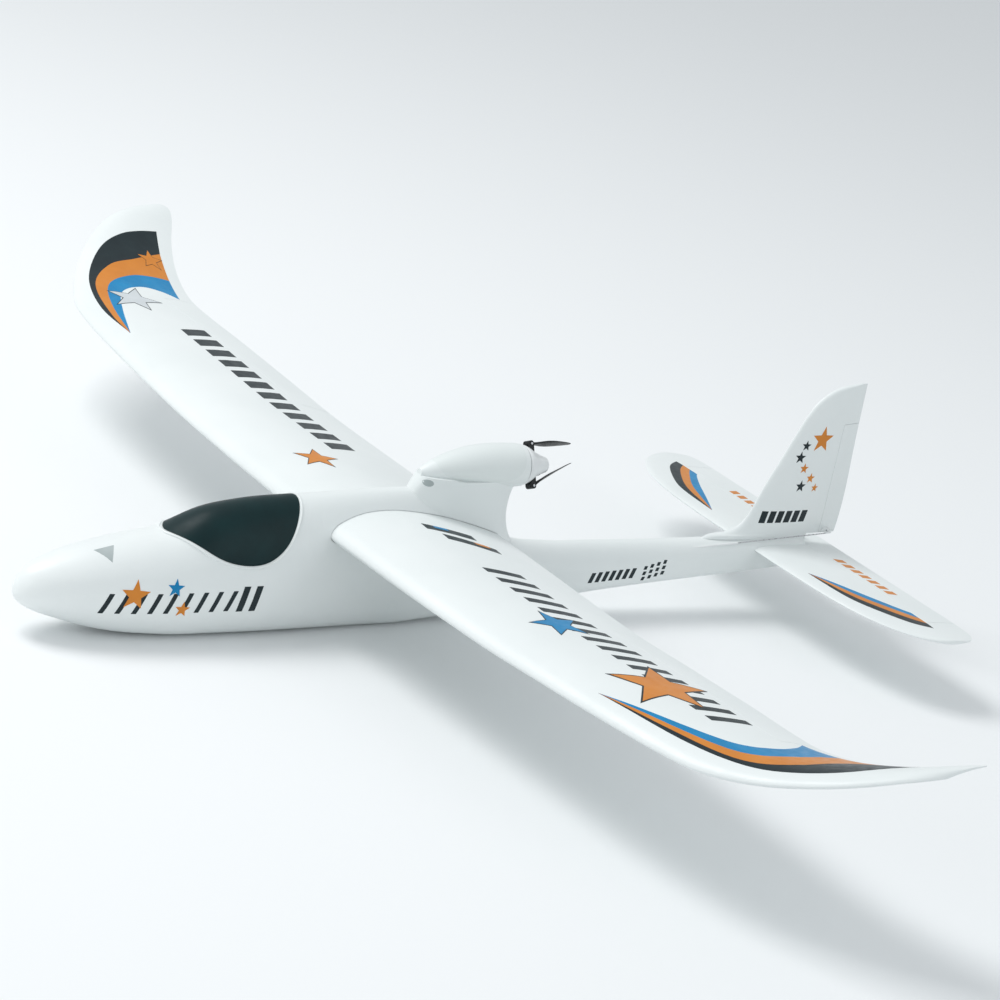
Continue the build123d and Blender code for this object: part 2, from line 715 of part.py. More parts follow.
with BuildPart() as rotor_bell:
    disc(BELL[0] - 2, BELL[0], BELL[2], SHAFT_RADIUS)
    disc(BELL[0], BELL[1], BELL[2], STATOR_RADIUS + 0.7)
export(rotor_bell, "rotor_bell")

with BuildPart() as motor_shaft:
    disc(BELL[0] - 4, HUB[1] + 4, SHAFT_RADIUS)
export(motor_shaft, "motor_shaft")

turn = radians(BLADE_TURN)
blades = {}
for name, sign in (("upper", 1), ("lower", -1)):
    radial = Vector(-sign * sin(turn), 0, sign * cos(turn))
    across = Vector(0, 1, 0).cross(radial)
    pin = Vector(0, sta(BLADE_PIN_STATION), THRUST) + radial * BLADE_PIVOT
    blades[name] = (radial, across, pin)

with BuildPart() as blade_pins:
    for radial, across, pin in blades.values():
        rod_between(pin - across * 5.6, pin + across * 5.6, 1.2)
export(blade_pins, "blade_pins")

with BuildPart() as propeller_hub:
    disc(HUB[0], HUB[1], HUB[2])
    for radial, across, pin in blades.values():
        yoke = Plane(origin=pin, x_dir=(0, 1, 0), z_dir=across)
        for edge in (-4.8, 3.0):
            with BuildSketch(yoke.offset(edge)):
                Circle(3.0)
                with Locations((0, -BLADE_PIVOT / 2)):
                    Rectangle(6, BLADE_PIVOT)
            extrude(amount=1.8)
    with BuildSketch(Plane.XZ.offset(-sta(HUB[0]))):
        with Locations((0, THRUST)):
            Circle(SHAFT_RADIUS)
    extrude(amount=-30, mode=Mode.SUBTRACT)
    add(blade_pins.part, mode=Mode.SUBTRACT)
export(propeller_hub, "propeller_hub")

with BuildPart() as spinner:
    outer = [(r, sta(s)) for r, s in SPINNER_CONE]
    tip = [(SPINNER_CONE[-1][0] - 1, sta(SPINNER[1])), (0, sta(SPINNER[1]))]
    base = [(0, sta(SPINNER[0])), (SPINNER[2], sta(SPINNER[0]))]
    with BuildSketch(Plane.XY):
        with BuildLine():
            Spline(*outer)
            Polyline(outer[-1], *tip, *base, outer[0])
        make_face()
    revolve(axis=Axis.Y)
spinner_at = Location((0, 0, THRUST))
with BuildPart() as spinner_shell:
    add(spinner.part.moved(spinner_at))
    for front, rear in zip(SPINNER_CAVITY, SPINNER_CAVITY[1:]):
        with BuildSketch(Plane.XZ.offset(-sta(front[1]))) as ring:
            with Locations((0, THRUST)):
                Circle(rear[0])
        extrude(ring.sketch, amount=front[1] - rear[1], mode=Mode.SUBTRACT)
    for radial, across, pin in blades.values():
        slot = Plane(origin=(0, sta(533.5), THRUST), x_dir=across, z_dir=(0, 1, 0))
        way = 1 if slot.y_dir.dot(radial) > 0 else -1
        with BuildSketch(slot) as window:
            with Locations((0, way * 16)):
                Rectangle(12, 18)
        extrude(window.sketch, amount=18, mode=Mode.SUBTRACT)
    add(motor_shaft.part, mode=Mode.SUBTRACT)
export(spinner_shell, "spinner")

BLADE_SECTIONS = [  # distance from the pin, width, thickness, pitch, shift across
    (4, 7, 3.2, 0, 0),
    (10, 9, 2.6, 12, 0.4),
    (19, 12.5, 2.1, 20, 1.2),
    (29, 13.5, 1.7, 18, 1.3),
    (39, 11.5, 1.4, 15, 0.5),
    (48, 8, 1.1, 12, -0.6),
    (BLADE_LENGTH, 4.5, 0.8, 10, -2.4),
]


def oval_points(width, height, count=12):
    """Points round an ellipse."""
    turns = [2 * pi * i / count for i in range(count)]
    return [(width / 2 * cos(t), height / 2 * sin(t)) for t in turns]


for name, (radial, across, pin) in blades.items():
    sections = []
    tuck = radians(BLADE_TUCK[name])
    out = Vector(0, 1, 0) * cos(tuck) - radial * sin(tuck)
    face_way = radial * cos(tuck) + Vector(0, 1, 0) * sin(tuck)
    for run, width, thick, pitch, shift in BLADE_SECTIONS:
        a = radians(pitch)
        chord_way = across * cos(a) + face_way * sin(a)
        centre = pin + out * run + across * shift
        with BuildSketch(Plane(origin=centre, x_dir=chord_way, z_dir=out)) as section:
            with BuildLine():
                matched_spline(oval_points(width, thick), oval_points(14, 2), closed=True)
            make_face()
        sections.append(section.sketch.faces()[0])
    with BuildPart() as blade:
        loft(sections)
        knuckle = Plane(origin=pin - across * 2.6, z_dir=across)
        with BuildSketch(knuckle) as eye:
            Circle(3.0)
        extrude(eye.sketch, amount=5.2)
        with BuildSketch(Plane(origin=pin, x_dir=across, z_dir=out)) as neck:
            Rectangle(5.2, 3.0)
        extrude(neck.sketch, amount=4.6)
        with BuildSketch(knuckle) as hole:
            Circle(1.2 + RUNNING)
        extrude(hole.sketch, amount=5.2, mode=Mode.SUBTRACT)
    export(blade, f"{name}_blade")

# ---------------------------------------------------------------- fuselage and what it holds

with BuildPart() as battery:
    box((-17, 17), (106, 206), (9, 33))
    fillet(battery.edges().filter_by(Axis.Y), 3)
export(battery, "battery_pack")

with BuildPart() as battery_strap:
    box((-18.4, 18.4), (150, 170), (9, 34.4))
    add(battery.part, mode=Mode.SUBTRACT)
export(battery_strap, "battery_strap")

with BuildPart() as speed_controller:
    box((-12, 12), (224, 270), (8, 17))
    fillet(speed_controller.edges().filter_by(Axis.Y), 1.5)
export(speed_controller, "speed_controller")

with BuildPart() as receiver:
    box((-11, 11), (288, 326), (8, 21))
    fillet(receiver.edges().filter_by(Axis.Z), 1.5)
export(receiver, "receiver")

with BuildPart() as boom_tube:
    rod_between((0, sta(440), 40), (0, sta(845), 57), 3.0)
    with BuildSketch(Plane(origin=(0, sta(440), 40), z_dir=(0, 405, 17))) as bore:
        Circle(2.0)
    extrude(bore.sketch, amount=410, mode=Mode.SUBTRACT)
export(boom_tube, "boom_tube")
with BuildPart() as boom_bore:
    rod_between((0, sta(440), 40), (0, sta(845), 57), 3.0)

with BuildPart() as wing_joiner_tube:
    rod_between((-tube_half, sta(tube_station), tube_height), (tube_half, sta(tube_station), tube_height), tube_radius)
    with BuildSketch(Plane.YZ.offset(-tube_half)) as bore:
        with Locations((sta(tube_station), tube_height)):
            Circle(tube_radius - 1)
    extrude(bore.sketch, amount=2 * tube_half, mode=Mode.SUBTRACT)
export(wing_joiner_tube, "wing_joiner_tube")
with BuildPart() as joiner_bore:
    rod_between((-40, sta(tube_station), tube_height), (40, sta(tube_station), tube_height), tube_radius)

LATCH = ((30, 37), (231.5, 242.5), (63, 76))
TONGUE = ((32.2, 34.2), (233.5, 240.5), (67, 90))


def both_sides(spans):
    """The same box on both sides of the centre line, added to the part being built."""
    (x1, x2), s, z = spans
    box((x1, x2), s, z)
    box((-x2, -x1), s, z)


with BuildPart() as tongue_room:
    (x1, x2), (s1, s2), (z1, z2) = TONGUE
    both_sides(((x1 - GAP, x2 + GAP), (s1 - GAP, s2 + GAP), (z1 - 1, z2)))

with BuildPart() as canopy_latches:
    both_sides(LATCH)
    add(tongue_room.part, mode=Mode.SUBTRACT)
export(canopy_latches, "canopy_latches")

with BuildPart() as latch_room:
    both_sides((LATCH[0], LATCH[1], (LATCH[2][0], 92)))

canopy_inner_faces = [ring_face(row, CANOPY_SKIN) for row in body_rows if 76 <= row[0] <= 325]
with BuildPart() as canopy_inside:
    loft(canopy_inner_faces)

region = above_edge(CANOPY_LIFT)
with BuildPart() as canopy:
    add(body_solid.part)
    add(region, mode=Mode.INTERSECT)
    add(canopy_inside.part, mode=Mode.SUBTRACT)
    both_sides(TONGUE)
export(canopy, "canopy")

with BuildPart() as motor_cowl:
    add(pod_solid.part)
    add(cowl_region.part, mode=Mode.INTERSECT)
    add(motor_room.part, mode=Mode.SUBTRACT)
    add(cowl_screws.part, mode=Mode.SUBTRACT)
export(motor_cowl, "motor_cowl")


def pylon_face(height, front, rear, half):
    """Level section of the pylon: a long oval, blunter than an ellipse."""
    def points(length, width):
        n = 2 / PYLON_SQUARENESS
        turns = [2 * pi * i / RING_POINTS for i in range(RING_POINTS)]
        return [(width * power(cos(t), n), length * power(sin(t), n)) for t in turns]
    middle = (front + rear) / 2
    outline = [(x, sta(middle) + y) for x, y in points((rear - front) / 2, half)]
    with BuildSketch(Plane.XY.offset(height)) as section:
        with BuildLine():
            matched_spline(outline, points(65, 17), closed=True)
        make_face()
    return section.sketch.faces()[0]


pylon_faces = [pylon_face(*row) for row in PYLON]
canopy_cut = above_edge(0)
with BuildPart() as hull:
    add(body_solid.part)
    loft(pylon_faces)
    add(pod_solid.part)
    add(cowl_region.part, mode=Mode.SUBTRACT)
    add(motor_room.part, mode=Mode.SUBTRACT)
    add(cabin_space.part, mode=Mode.SUBTRACT)
    add(canopy_cut, mode=Mode.SUBTRACT)
    add(wing_pocket.part, mode=Mode.SUBTRACT)
    mirror(wing_pocket.part, about=Plane.YZ, mode=Mode.SUBTRACT)
    for piece in (joiner_bore, boom_bore, stab_solid, battery_strap, battery, speed_controller, receiver,
                  latch_room, motor_mount, cowl_screws):
        add(piece.part, mode=Mode.SUBTRACT)
    for name in linkages:
        add(linkages[name]["seat"].part, mode=Mode.SUBTRACT)
        add(linkages[name]["way"].part, mode=Mode.SUBTRACT)
    split(bisect_by=Plane.XY, keep=Keep.TOP)

for label, keep in (("fuselage_left", Keep.TOP), ("fuselage_right", Keep.BOTTOM)):
    with BuildPart() as half:
        add(hull.part)
        split(bisect_by=Plane.YZ, keep=keep)
        add(fin.part, mode=Mode.SUBTRACT)
    export(half, label)

for name, pieces in linkages.items():
    export(pieces["arm"], f"{name}_servo_arm")
    export(pieces["case"], f"{name}_servo")
    export(pieces["rod"], f"{name}_pushrod")
    export(pieces["tube"], f"{name}_guide_tube")
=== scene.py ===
import json
from math import cos, pi, radians, sin, tau

import bmesh
import bpy
from mathutils import Matrix, Vector
from mathutils.bvhtree import BVHTree


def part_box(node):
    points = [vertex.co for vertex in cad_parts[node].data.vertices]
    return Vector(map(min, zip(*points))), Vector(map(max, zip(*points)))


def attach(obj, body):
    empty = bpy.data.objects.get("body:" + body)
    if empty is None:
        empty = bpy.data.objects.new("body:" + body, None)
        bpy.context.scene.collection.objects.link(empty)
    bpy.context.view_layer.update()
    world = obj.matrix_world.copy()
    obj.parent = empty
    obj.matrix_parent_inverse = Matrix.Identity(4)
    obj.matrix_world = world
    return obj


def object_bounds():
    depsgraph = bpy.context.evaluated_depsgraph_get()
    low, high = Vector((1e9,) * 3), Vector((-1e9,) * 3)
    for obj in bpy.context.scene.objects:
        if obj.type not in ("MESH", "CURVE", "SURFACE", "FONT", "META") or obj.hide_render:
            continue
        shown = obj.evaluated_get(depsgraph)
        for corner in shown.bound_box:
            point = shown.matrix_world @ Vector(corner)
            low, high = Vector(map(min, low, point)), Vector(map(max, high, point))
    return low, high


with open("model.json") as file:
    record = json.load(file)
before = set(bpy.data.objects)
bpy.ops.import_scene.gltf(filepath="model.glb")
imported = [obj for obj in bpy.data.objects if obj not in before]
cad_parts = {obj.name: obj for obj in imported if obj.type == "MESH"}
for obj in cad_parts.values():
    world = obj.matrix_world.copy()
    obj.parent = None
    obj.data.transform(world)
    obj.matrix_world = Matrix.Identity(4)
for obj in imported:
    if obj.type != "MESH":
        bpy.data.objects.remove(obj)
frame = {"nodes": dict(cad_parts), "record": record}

cad_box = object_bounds()
MM = 0.001
NODES = frame["nodes"]
NOSE_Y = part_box("fuselage_left")[0].y  # stations are counted aft from here
PORT, STARBOARD = 1, -1


def place(x, station, z=0.0):
    """Point in metres from millimetres: distance to port, station aft of the nose, height."""
    return Vector((x * MM, NOSE_Y + station * MM, z * MM))


# ------------------------------------------------------------------ node helpers


def new_material(name):
    """Empty node material: returns the material, its tree and its Principled shader."""
    material = bpy.data.materials.new(name)
    material.use_nodes = True
    tree = material.node_tree
    return material, tree, tree.nodes["Principled BSDF"]


def texture(tree, kind, scale, detail=2.0, stretch=(1, 1, 1), **settings):
    """Procedural texture in object space, so its grain has a real size on every piece."""
    where = tree.nodes.new("ShaderNodeTexCoord")
    mapping = tree.nodes.new("ShaderNodeMapping")
    mapping.inputs["Scale"].default_value = stretch
    tree.links.new(where.outputs["Object"], mapping.inputs["Vector"])
    node = tree.nodes.new(kind)
    node.inputs["Scale"].default_value = scale
    if "Detail" in node.inputs:
        node.inputs["Detail"].default_value = detail
    for key, value in settings.items():
        setattr(node, key, value)
    tree.links.new(mapping.outputs["Vector"], node.inputs["Vector"])
    return node


def ramp(tree, source, *stops):
    """Colour ramp from (position, colour) stops, fed by a texture output."""
    node = tree.nodes.new("ShaderNodeValToRGB")
    elements = node.color_ramp.elements
    while len(elements) < len(stops):
        elements.new(0.5)
    for element, (position, colour) in zip(elements, stops):
        element.position = position
        element.color = (*colour, 1.0) if hasattr(colour, "__len__") else (colour, colour, colour, 1.0)
    tree.links.new(source, node.inputs["Fac"])
    return node.outputs["Color"]


def bump(tree, shader, height, strength, distance):
    """Adds a bump on top of what the shader's normal already has."""
    node = tree.nodes.new("ShaderNodeBump")
    node.inputs["Strength"].default_value = strength
    node.inputs["Distance"].default_value = distance
    tree.links.new(height, node.inputs["Height"])
    for link in list(shader.inputs["Normal"].links):
        tree.links.new(link.from_socket, node.inputs["Normal"])
    tree.links.new(node.outputs["Normal"], shader.inputs["Normal"])


# ------------------------------------------------------------------ materials


def foam_material(name, light, dark):
    """Moulded bead foam: pressed beads a few millimetres wide, a slightly glossy skin, faint cloudiness."""
    material, tree, shader = new_material(name)
    clouds = texture(tree, "ShaderNodeTexNoise", 9.0, 3.0)
    tree.links.new(ramp(tree, clouds.outputs["Fac"], (0.35, dark), (0.7, light)), shader.inputs["Base Color"])
    patches = texture(tree, "ShaderNodeTexNoise", 60.0, 4.0)
    tree.links.new(ramp(tree, patches.outputs["Fac"], (0.3, 0.36), (0.7, 0.5)), shader.inputs["Roughness"])
    beads = texture(tree, "ShaderNodeTexVoronoi", 330.0, feature="SMOOTH_F1")
    bump(tree, shader, beads.outputs["Distance"], 0.22, 0.0002)
    pores = texture(tree, "ShaderNodeTexNoise", 1500.0, 2.0)
    bump(tree, shader, pores.outputs["Fac"], 0.12, 0.00008)
    shader.inputs["Coat Weight"].default_value = 0.12
    shader.inputs["Coat Roughness"].default_value = 0.28
    return material


def plastic_material(name, light, dark, rough=(0.3, 0.45), grain=900.0, depth=0.00005, coat=0.0, gloss=0.5):
    """Moulded plastic or paint with a fine grain."""
    material, tree, shader = new_material(name)
    clouds = texture(tree, "ShaderNodeTexNoise", 40.0, 3.0)
    tree.links.new(ramp(tree, clouds.outputs["Fac"], (0.35, dark), (0.7, light)), shader.inputs["Base Color"])
    smears = texture(tree, "ShaderNodeTexNoise", 120.0, 3.0)
    sheen = ramp(tree, smears.outputs["Fac"], (0.3, rough[0]), (0.7, rough[1]))
    tree.links.new(sheen, shader.inputs["Roughness"])
    fine = texture(tree, "ShaderNodeTexNoise", grain, 3.0)
    bump(tree, shader, fine.outputs["Fac"], 0.25, depth)
    shader.inputs["Specular IOR Level"].default_value = gloss
    shader.inputs["Coat Weight"].default_value = coat
    shader.inputs["Coat Roughness"].default_value = 0.15
    return material


def vinyl_material(name, light, dark):
    """Printed film: even ink with a fine print grain and the film's own soft gloss."""
    return plastic_material(name, light, dark, rough=(0.28, 0.4), grain=2200.0, depth=0.00002, gloss=0.25)


def metal_material(name, colour, rough, stretch=(1, 1, 1), scale=400.0):
    """Metal with fine drawing or turning marks along one direction."""
    material, tree, shader = new_material(name)
    marks = texture(tree, "ShaderNodeTexNoise", scale, 4.0, stretch)
    low = tuple(c * 0.75 for c in colour)
    tree.links.new(ramp(tree, marks.outputs["Fac"], (0.3, low), (0.7, colour)), shader.inputs["Base Color"])
    sheen = ramp(tree, marks.outputs["Fac"], (0.3, rough), (0.7, rough + 0.15))
    tree.links.new(sheen, shader.inputs["Roughness"])
    bump(tree, shader, marks.outputs["Fac"], 0.3, 0.00003)
    shader.inputs["Metallic"].default_value = 1.0
    return material


def weave_material(name, light, dark, pitch):
    """Woven strap: warp and weft threads crossing."""
    material, tree, shader = new_material(name)
    warp = texture(tree, "ShaderNodeTexWave", tau / pitch / 40, stretch=(1, 0, 0), bands_direction="X")
    weft = texture(tree, "ShaderNodeTexWave", tau / pitch / 40, stretch=(0, 1, 0), bands_direction="Y")
    both = tree.nodes.new("ShaderNodeMath")
    both.operation = "MULTIPLY"
    tree.links.new(warp.outputs["Fac"], both.inputs[0])
    tree.links.new(weft.outputs["Fac"], both.inputs[1])
    tree.links.new(ramp(tree, both.outputs[0], (0.2, dark), (0.8, light)), shader.inputs["Base Color"])
    bump(tree, shader, both.outputs[0], 0.6, 0.0003)
    shader.inputs["Roughness"].default_value = 0.85
    shader.inputs["Sheen Weight"].default_value = 0.3
    return material


WHITE_FOAM = foam_material("white_foam", (0.80, 0.835, 0.83), (0.765, 0.805, 0.80))
COWL_FOAM = foam_material("cowl_foam", (0.77, 0.81, 0.80), (0.73, 0.775, 0.765))
CANOPY_PAINT = plastic_material("canopy_paint", (0.002, 0.022, 0.024), (0.001, 0.016, 0.018),
                                rough=(0.36, 0.46), grain=500.0, depth=0.0001, gloss=0.22)
ORANGE = vinyl_material("orange_film", (0.66, 0.235, 0.030), (0.60, 0.205, 0.024))
BLUE = vinyl_material("blue_film", (0.0, 0.235, 0.50), (0.0, 0.20, 0.44))
BLACK = vinyl_material("black_film", (0.010, 0.022, 0.026), (0.007, 0.016, 0.020))
SILVER = vinyl_material("silver_film", (0.62, 0.66, 0.68), (0.56, 0.60, 0.62))
BLACK_PLASTIC = plastic_material("black_plastic", (0.012, 0.014, 0.015), (0.008, 0.010, 0.011), gloss=0.3)
WHITE_PLASTIC = plastic_material("white_plastic", (0.80, 0.82, 0.82), (0.76, 0.785, 0.785), coat=0.3)
SERVO_BLUE = plastic_material("servo_case", (0.02, 0.05, 0.20), (0.015, 0.04, 0.16), rough=(0.15, 0.25))
# Flat grey for the nose recess and the air inlet: painted shade standing in for the shadow inside these
# hollows, not a grey foam
PAINTED_HOLLOW_SHADE = plastic_material("painted_hollow_shade", (0.42, 0.47, 0.47), (0.36, 0.41, 0.41), rough=(0.5, 0.6))
WRAP = plastic_material("battery_wrap", (0.03, 0.06, 0.20), (0.02, 0.05, 0.16), rough=(0.15, 0.3), coat=0.5)
SHRINK = plastic_material("shrink_wrap", (0.02, 0.02, 0.05), (0.015, 0.015, 0.04), rough=(0.2, 0.3))
STRAP = weave_material("strap", (0.03, 0.03, 0.03), (0.008, 0.008, 0.008), 0.0012)
STEEL = metal_material("steel_wire", (0.62, 0.62, 0.64), 0.22)
DARK_STEEL = metal_material("dark_steel", (0.20, 0.20, 0.21), 0.30)
ALUMINIUM = metal_material("aluminium", (0.75, 0.75, 0.76), 0.25)
MOTOR_METAL = metal_material("motor_metal", (0.10, 0.10, 0.12), 0.30)
TUBE = plastic_material("composite_tube", (0.015, 0.015, 0.016), (0.010, 0.010, 0.011), rough=(0.25, 0.35))

SLOT_LOOK = {
    "foam": WHITE_FOAM, "canopy_foam": CANOPY_PAINT, "battery_wrap": WRAP, "strap": STRAP,
    "shrink_wrap": SHRINK, "black_plastic": BLACK_PLASTIC, "servo_case": SERVO_BLUE,
    "white_plastic": WHITE_PLASTIC, "steel": STEEL, "screw_steel": DARK_STEEL,
    "composite_tube": TUBE, "motor_metal": MOTOR_METAL, "aluminium_plate": ALUMINIUM,
}


def smooth_by_angle(obj, degrees):
    """Smooth shading, with edges sharper than the angle kept crisp."""
    mesh = obj.data
    work = bmesh.new()
    work.from_mesh(mesh)
    for face in work.faces:
        face.smooth = True
    for edge in work.edges:
        edge.smooth = edge.calc_face_angle(pi) < radians(degrees)
    work.to_mesh(mesh)
    work.free()


for row in frame["record"]["subparts"]:
    node = NODES[row["node"]]
    node.data.materials.clear()
    node.data.materials.append(SLOT_LOOK[row["material_slot"]])
NODES["motor_cowl"].data.materials[0] = COWL_FOAM

# ------------------------------------------------------------------ mesh helpers


def piece_from(name, work, material, body):
    """Object from a bmesh, with its material, riding on a CAD body."""
    mesh = bpy.data.meshes.new(name)
    work.to_mesh(mesh)
    work.free()
    mesh.materials.append(material)
    obj = bpy.data.objects.new(name, mesh)
    bpy.context.scene.collection.objects.link(obj)
    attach(obj, body)
    return obj


def surface_tree(*names):
    """Ray-cast tree of CAD nodes at rest."""
    work = bmesh.new()
    for name in names:
        work.from_mesh(NODES[name].data)
    tree = BVHTree.FromBMesh(work)
    work.free()
    return tree


def curve_through(points, steps=8):
    """Smooth open line through the points (Catmull-Rom)."""
    pts = [Vector(p) for p in points]
    last = len(pts) - 1
    line = []
    for i in range(last):
        a, b, c, d = pts[max(i - 1, 0)], pts[i], pts[i + 1], pts[min(i + 2, last)]
        for j in range(steps):
            t = j / steps
            line.append(0.5 * (2 * b + (c - a) * t + (2 * a - 5 * b + 4 * c - d) * t**2
                               + (3 * b - a - 3 * c + d) * t**3))
    return line + [pts[-1]]


def band(first, second):
    """Outline of the area between two smooth edges that start at the same point."""
    return curve_through(first) + list(reversed(curve_through(second)[1:]))


def star(centre, radius, turn=0.0, points=5, waist=0.42):
    """Plain star outline."""
    outline = []
    for i in range(2 * points):
        reach = radius * (waist if i % 2 else 1.0)
        a = radians(turn) + pi * i / points
        outline.append(Vector((centre[0] + reach * cos(a), centre[1] + reach * sin(a))))
    return outline


def bar(start, run, rise, lean):
    """Slanted bar: a parallelogram from its lower corner, along by run and up by rise, leaning over."""
    x, y = start
    return [Vector(p) for p in ((x, y), (x + run, y), (x + run + lean, y + rise), (x + lean, y + rise))]


FILM = 0.00012  # height of a film's face above the skin, in metres
OVER = 2.2  # the same for a film laid on top of another, in FILMs
UNDER = OVER - 0.7  # and for the dark edge round it
SUNK = 0.6  # how far each film's underside is sunk into the skin, in FILMs
GRID = 2.5  # decals are divided this fine, in mm, before they are laid on a curved skin
CREASE = 50  # degrees: sharper edges stay crisp


def decal(name, outlines, to_space, along, tree, material, body, lift=1.0):
    """Printed film on a skin: flat outlines in mm, put in space by to_space, then dropped along."""
    direction = Vector(along)
    work = bmesh.new()
    for outline in outlines:
        corners = [work.verts.new((p[0], p[1], 0)) for p in outline]
        face = work.faces.new(corners)
        face.normal_update()
        bmesh.ops.triangulate(work, faces=[face])
    xs = [v.co.x for v in work.verts]
    ys = [v.co.y for v in work.verts]
    for low, high, normal in ((min(xs), max(xs), (1, 0, 0)), (min(ys), max(ys), (0, 1, 0))):
        cut = low + GRID
        while cut < high:
            geometry = work.verts[:] + work.edges[:] + work.faces[:]
            bmesh.ops.bisect_plane(work, geom=geometry, plane_co=Vector(normal) * cut, plane_no=normal)
            cut += GRID
    missed = []
    for vertex in work.verts:
        start = to_space(vertex.co.x, vertex.co.y)
        hit = tree.ray_cast(start, direction)[0]
        if hit is None:
            missed.append(vertex)
            continue
        vertex.co = hit - direction * (FILM * lift)
    bmesh.ops.delete(work, geom=missed, context="VERTS")
    bmesh.ops.recalc_face_normals(work, faces=work.faces)
    shell = bmesh.ops.extrude_face_region(work, geom=work.faces[:])
    bottoms = [g for g in shell["geom"] if isinstance(g, bmesh.types.BMVert)]
    for vertex in bottoms:
        vertex.co += direction * (FILM * (lift + SUNK))
    bmesh.ops.recalc_face_normals(work, faces=work.faces)
    smooth_by_angle(piece_from(name, work, material, body), CREASE)


def from_above(side):
    """Plan view space: x outboard on that side, y the station."""
    return lambda x, y: place(side * x, y, CLEAR_ABOVE)


def from_side(side):
    """Side view space: x the station, y the height."""
    return lambda x, y: place(side * CLEAR_BESIDE, x, y)


def bars(start, end, count, width, rise, lean):
    """Row of slanted bars: corners spread evenly from start to end, each as wide and high as given."""
    row = []
    for i in range(count):
        t = i / (count - 1)
        corner = (start[0] + t * (end[0] - start[0]), start[1] + t * (end[1] - start[1]))
        row.append(bar(corner, width, rise, lean))
    return row


CLEAR_ABOVE, CLEAR_BESIDE = 400, 200  # rays start this high and this far out, in mm
DOWN = (0, 0, -1)
INWARD = {PORT: (-1, 0, 0), STARBOARD: (1, 0, 0)}

# ------------------------------------------------------------------ decals on the wing

WING_TREES = {PORT: surface_tree("left_wing"), STARBOARD: surface_tree("right_wing")}
WING_BODIES = {PORT: "left_wing", STARBOARD: "right_wing"}
SIDE_NAMES = {PORT: "left", STARBOARD: "right"}

# Wing tip sweep, plan view (distance out, station): the shared tail, then the outer edge, the borders
# between its three colours and the inner edge
SWEEP_TAIL = {PORT: (402, 337), STARBOARD: (432, 346)}
SWEEP_EDGES = (
    [(500, 350), (570, 371), (618, 406), (639, 444), (645, 491)],
    [(481, 351), (555, 371), (588, 403), (599, 440), (612, 480)],
    [(500, 362), (550, 384), (568, 418), (570, 447), (568, 470)],
    [(485, 366), (530, 389), (545, 418), (541, 443), (529, 462)],
)
SWEEP_INKS = (("black", BLACK), ("orange", ORANGE), ("blue", BLUE))


def sweep_films(side, label, tail, edges, tree, body):
    """Three coloured bands that fan out from one tail, each between two of the edges."""
    for (colour, material), outer, inner in zip(SWEEP_INKS, edges, edges[1:]):
        outline = band([tail] + outer, [tail] + inner)
        decal(f"{SIDE_NAMES[side]}_{label}_sweep_{colour}", [outline], from_above(side), DOWN,
              tree, material, body)


for side in (PORT, STARBOARD):
    sweep_films(side, "wing", SWEEP_TAIL[side], SWEEP_EDGES, WING_TREES[side], WING_BODIES[side])

PORT_WING_ROW = bars((145, 394), (472, 397), 16, 10, 40, 9)
PORT_ROOT_BARS = [
    [Vector(c) for c in ((46, 392), (58, 391), (73, 441), (61, 443))],
    [Vector(c) for c in ((68, 402), (80, 401), (100, 452), (88, 454))],
]
STARBOARD_WING_ROW = bars((138, 410), (418, 407), 12, 16, 34, 7)
STARS = (  # side, name, (distance out, station), radius, turn, material
    (PORT, "orange", (411, 399), 46, 12, ORANGE),
    (PORT, "blue", (270, 391), 27, 40, BLUE),
    (STARBOARD, "orange", (110, 374), 22, 20, ORANGE),
    (STARBOARD, "silver", (514, 396), 29, 30, SILVER),
    (STARBOARD, "small", (600, 462), 15, 10, ORANGE),
)
STAR_EDGE = 1.1  # size of the dark star under each coloured one


def from_above_films(side, name, outlines, material, lift=1.0):
    """Films on a wing, seen from above."""
    decal(f"{SIDE_NAMES[side]}_wing_{name}", outlines, from_above(side), DOWN, WING_TREES[side], material,
          WING_BODIES[side], lift=lift)


from_above_films(PORT, "row_bars", PORT_WING_ROW, BLACK)
from_above_films(PORT, "root_bars", PORT_ROOT_BARS, BLACK)
from_above_films(PORT, "root_accent_blue", [bar((50, 403), 5, 14, 4)], BLUE, OVER)
from_above_films(PORT, "root_accent_orange", [bar((80, 432), 5, 14, 5)], ORANGE, OVER)
from_above_films(STARBOARD, "row_bars", STARBOARD_WING_ROW, BLACK)
for side, name, centre, radius, turn, material in STARS:
    from_above_films(side, f"{name}_star", [star(centre, radius, turn)], material, OVER)
    from_above_films(side, f"{name}_star_edge", [star(centre, radius * STAR_EDGE, turn)], BLACK, UNDER)

# ------------------------------------------------------------------ decals on the fuselage and fin

BODY_TREE = surface_tree("fuselage_left", "fuselage_right")
FIN_TREE = surface_tree("fin")
NOSE_ROW = bars((68, 31), (196, 33), 9, 5, 20, 7)
NOSE_THICK = bars((210, 32), (224, 32), 2, 7, 25, 4)
BOOM_ROW = bars((642, 39), (694, 43), 7, 5, 11, 3)
BOOM_MARKS = [bar((711 + 8 * i, 40 + 2 * i + 6 * j), 4, 4, 1) for i in range(4) for j in range(3)]
FIN_ROW = bars((859, 97), (914, 98), 6, 8, 13, 2)
NOSE_TURN, FIN_TURN = 15, 18
NOSE_STARS = (  # name, (station, height), radius, material
    ("orange_star", (100, 50), 15, ORANGE),
    ("blue_star", (140, 57), 9, BLUE),
    ("low_star", (151, 36), 8, ORANGE),
)
FIN_STARS = (
    ("orange", (916, 190), 15, ORANGE), ("dark_a", (896, 183), 6, BLACK), ("dark_b", (892, 170), 7, BLACK),
    ("amber_a", (901, 158), 6, ORANGE), ("amber_b", (914, 147), 6, ORANGE), ("dark_c", (903, 138), 7, BLACK),
    ("amber_c", (924, 136), 5, ORANGE),
)


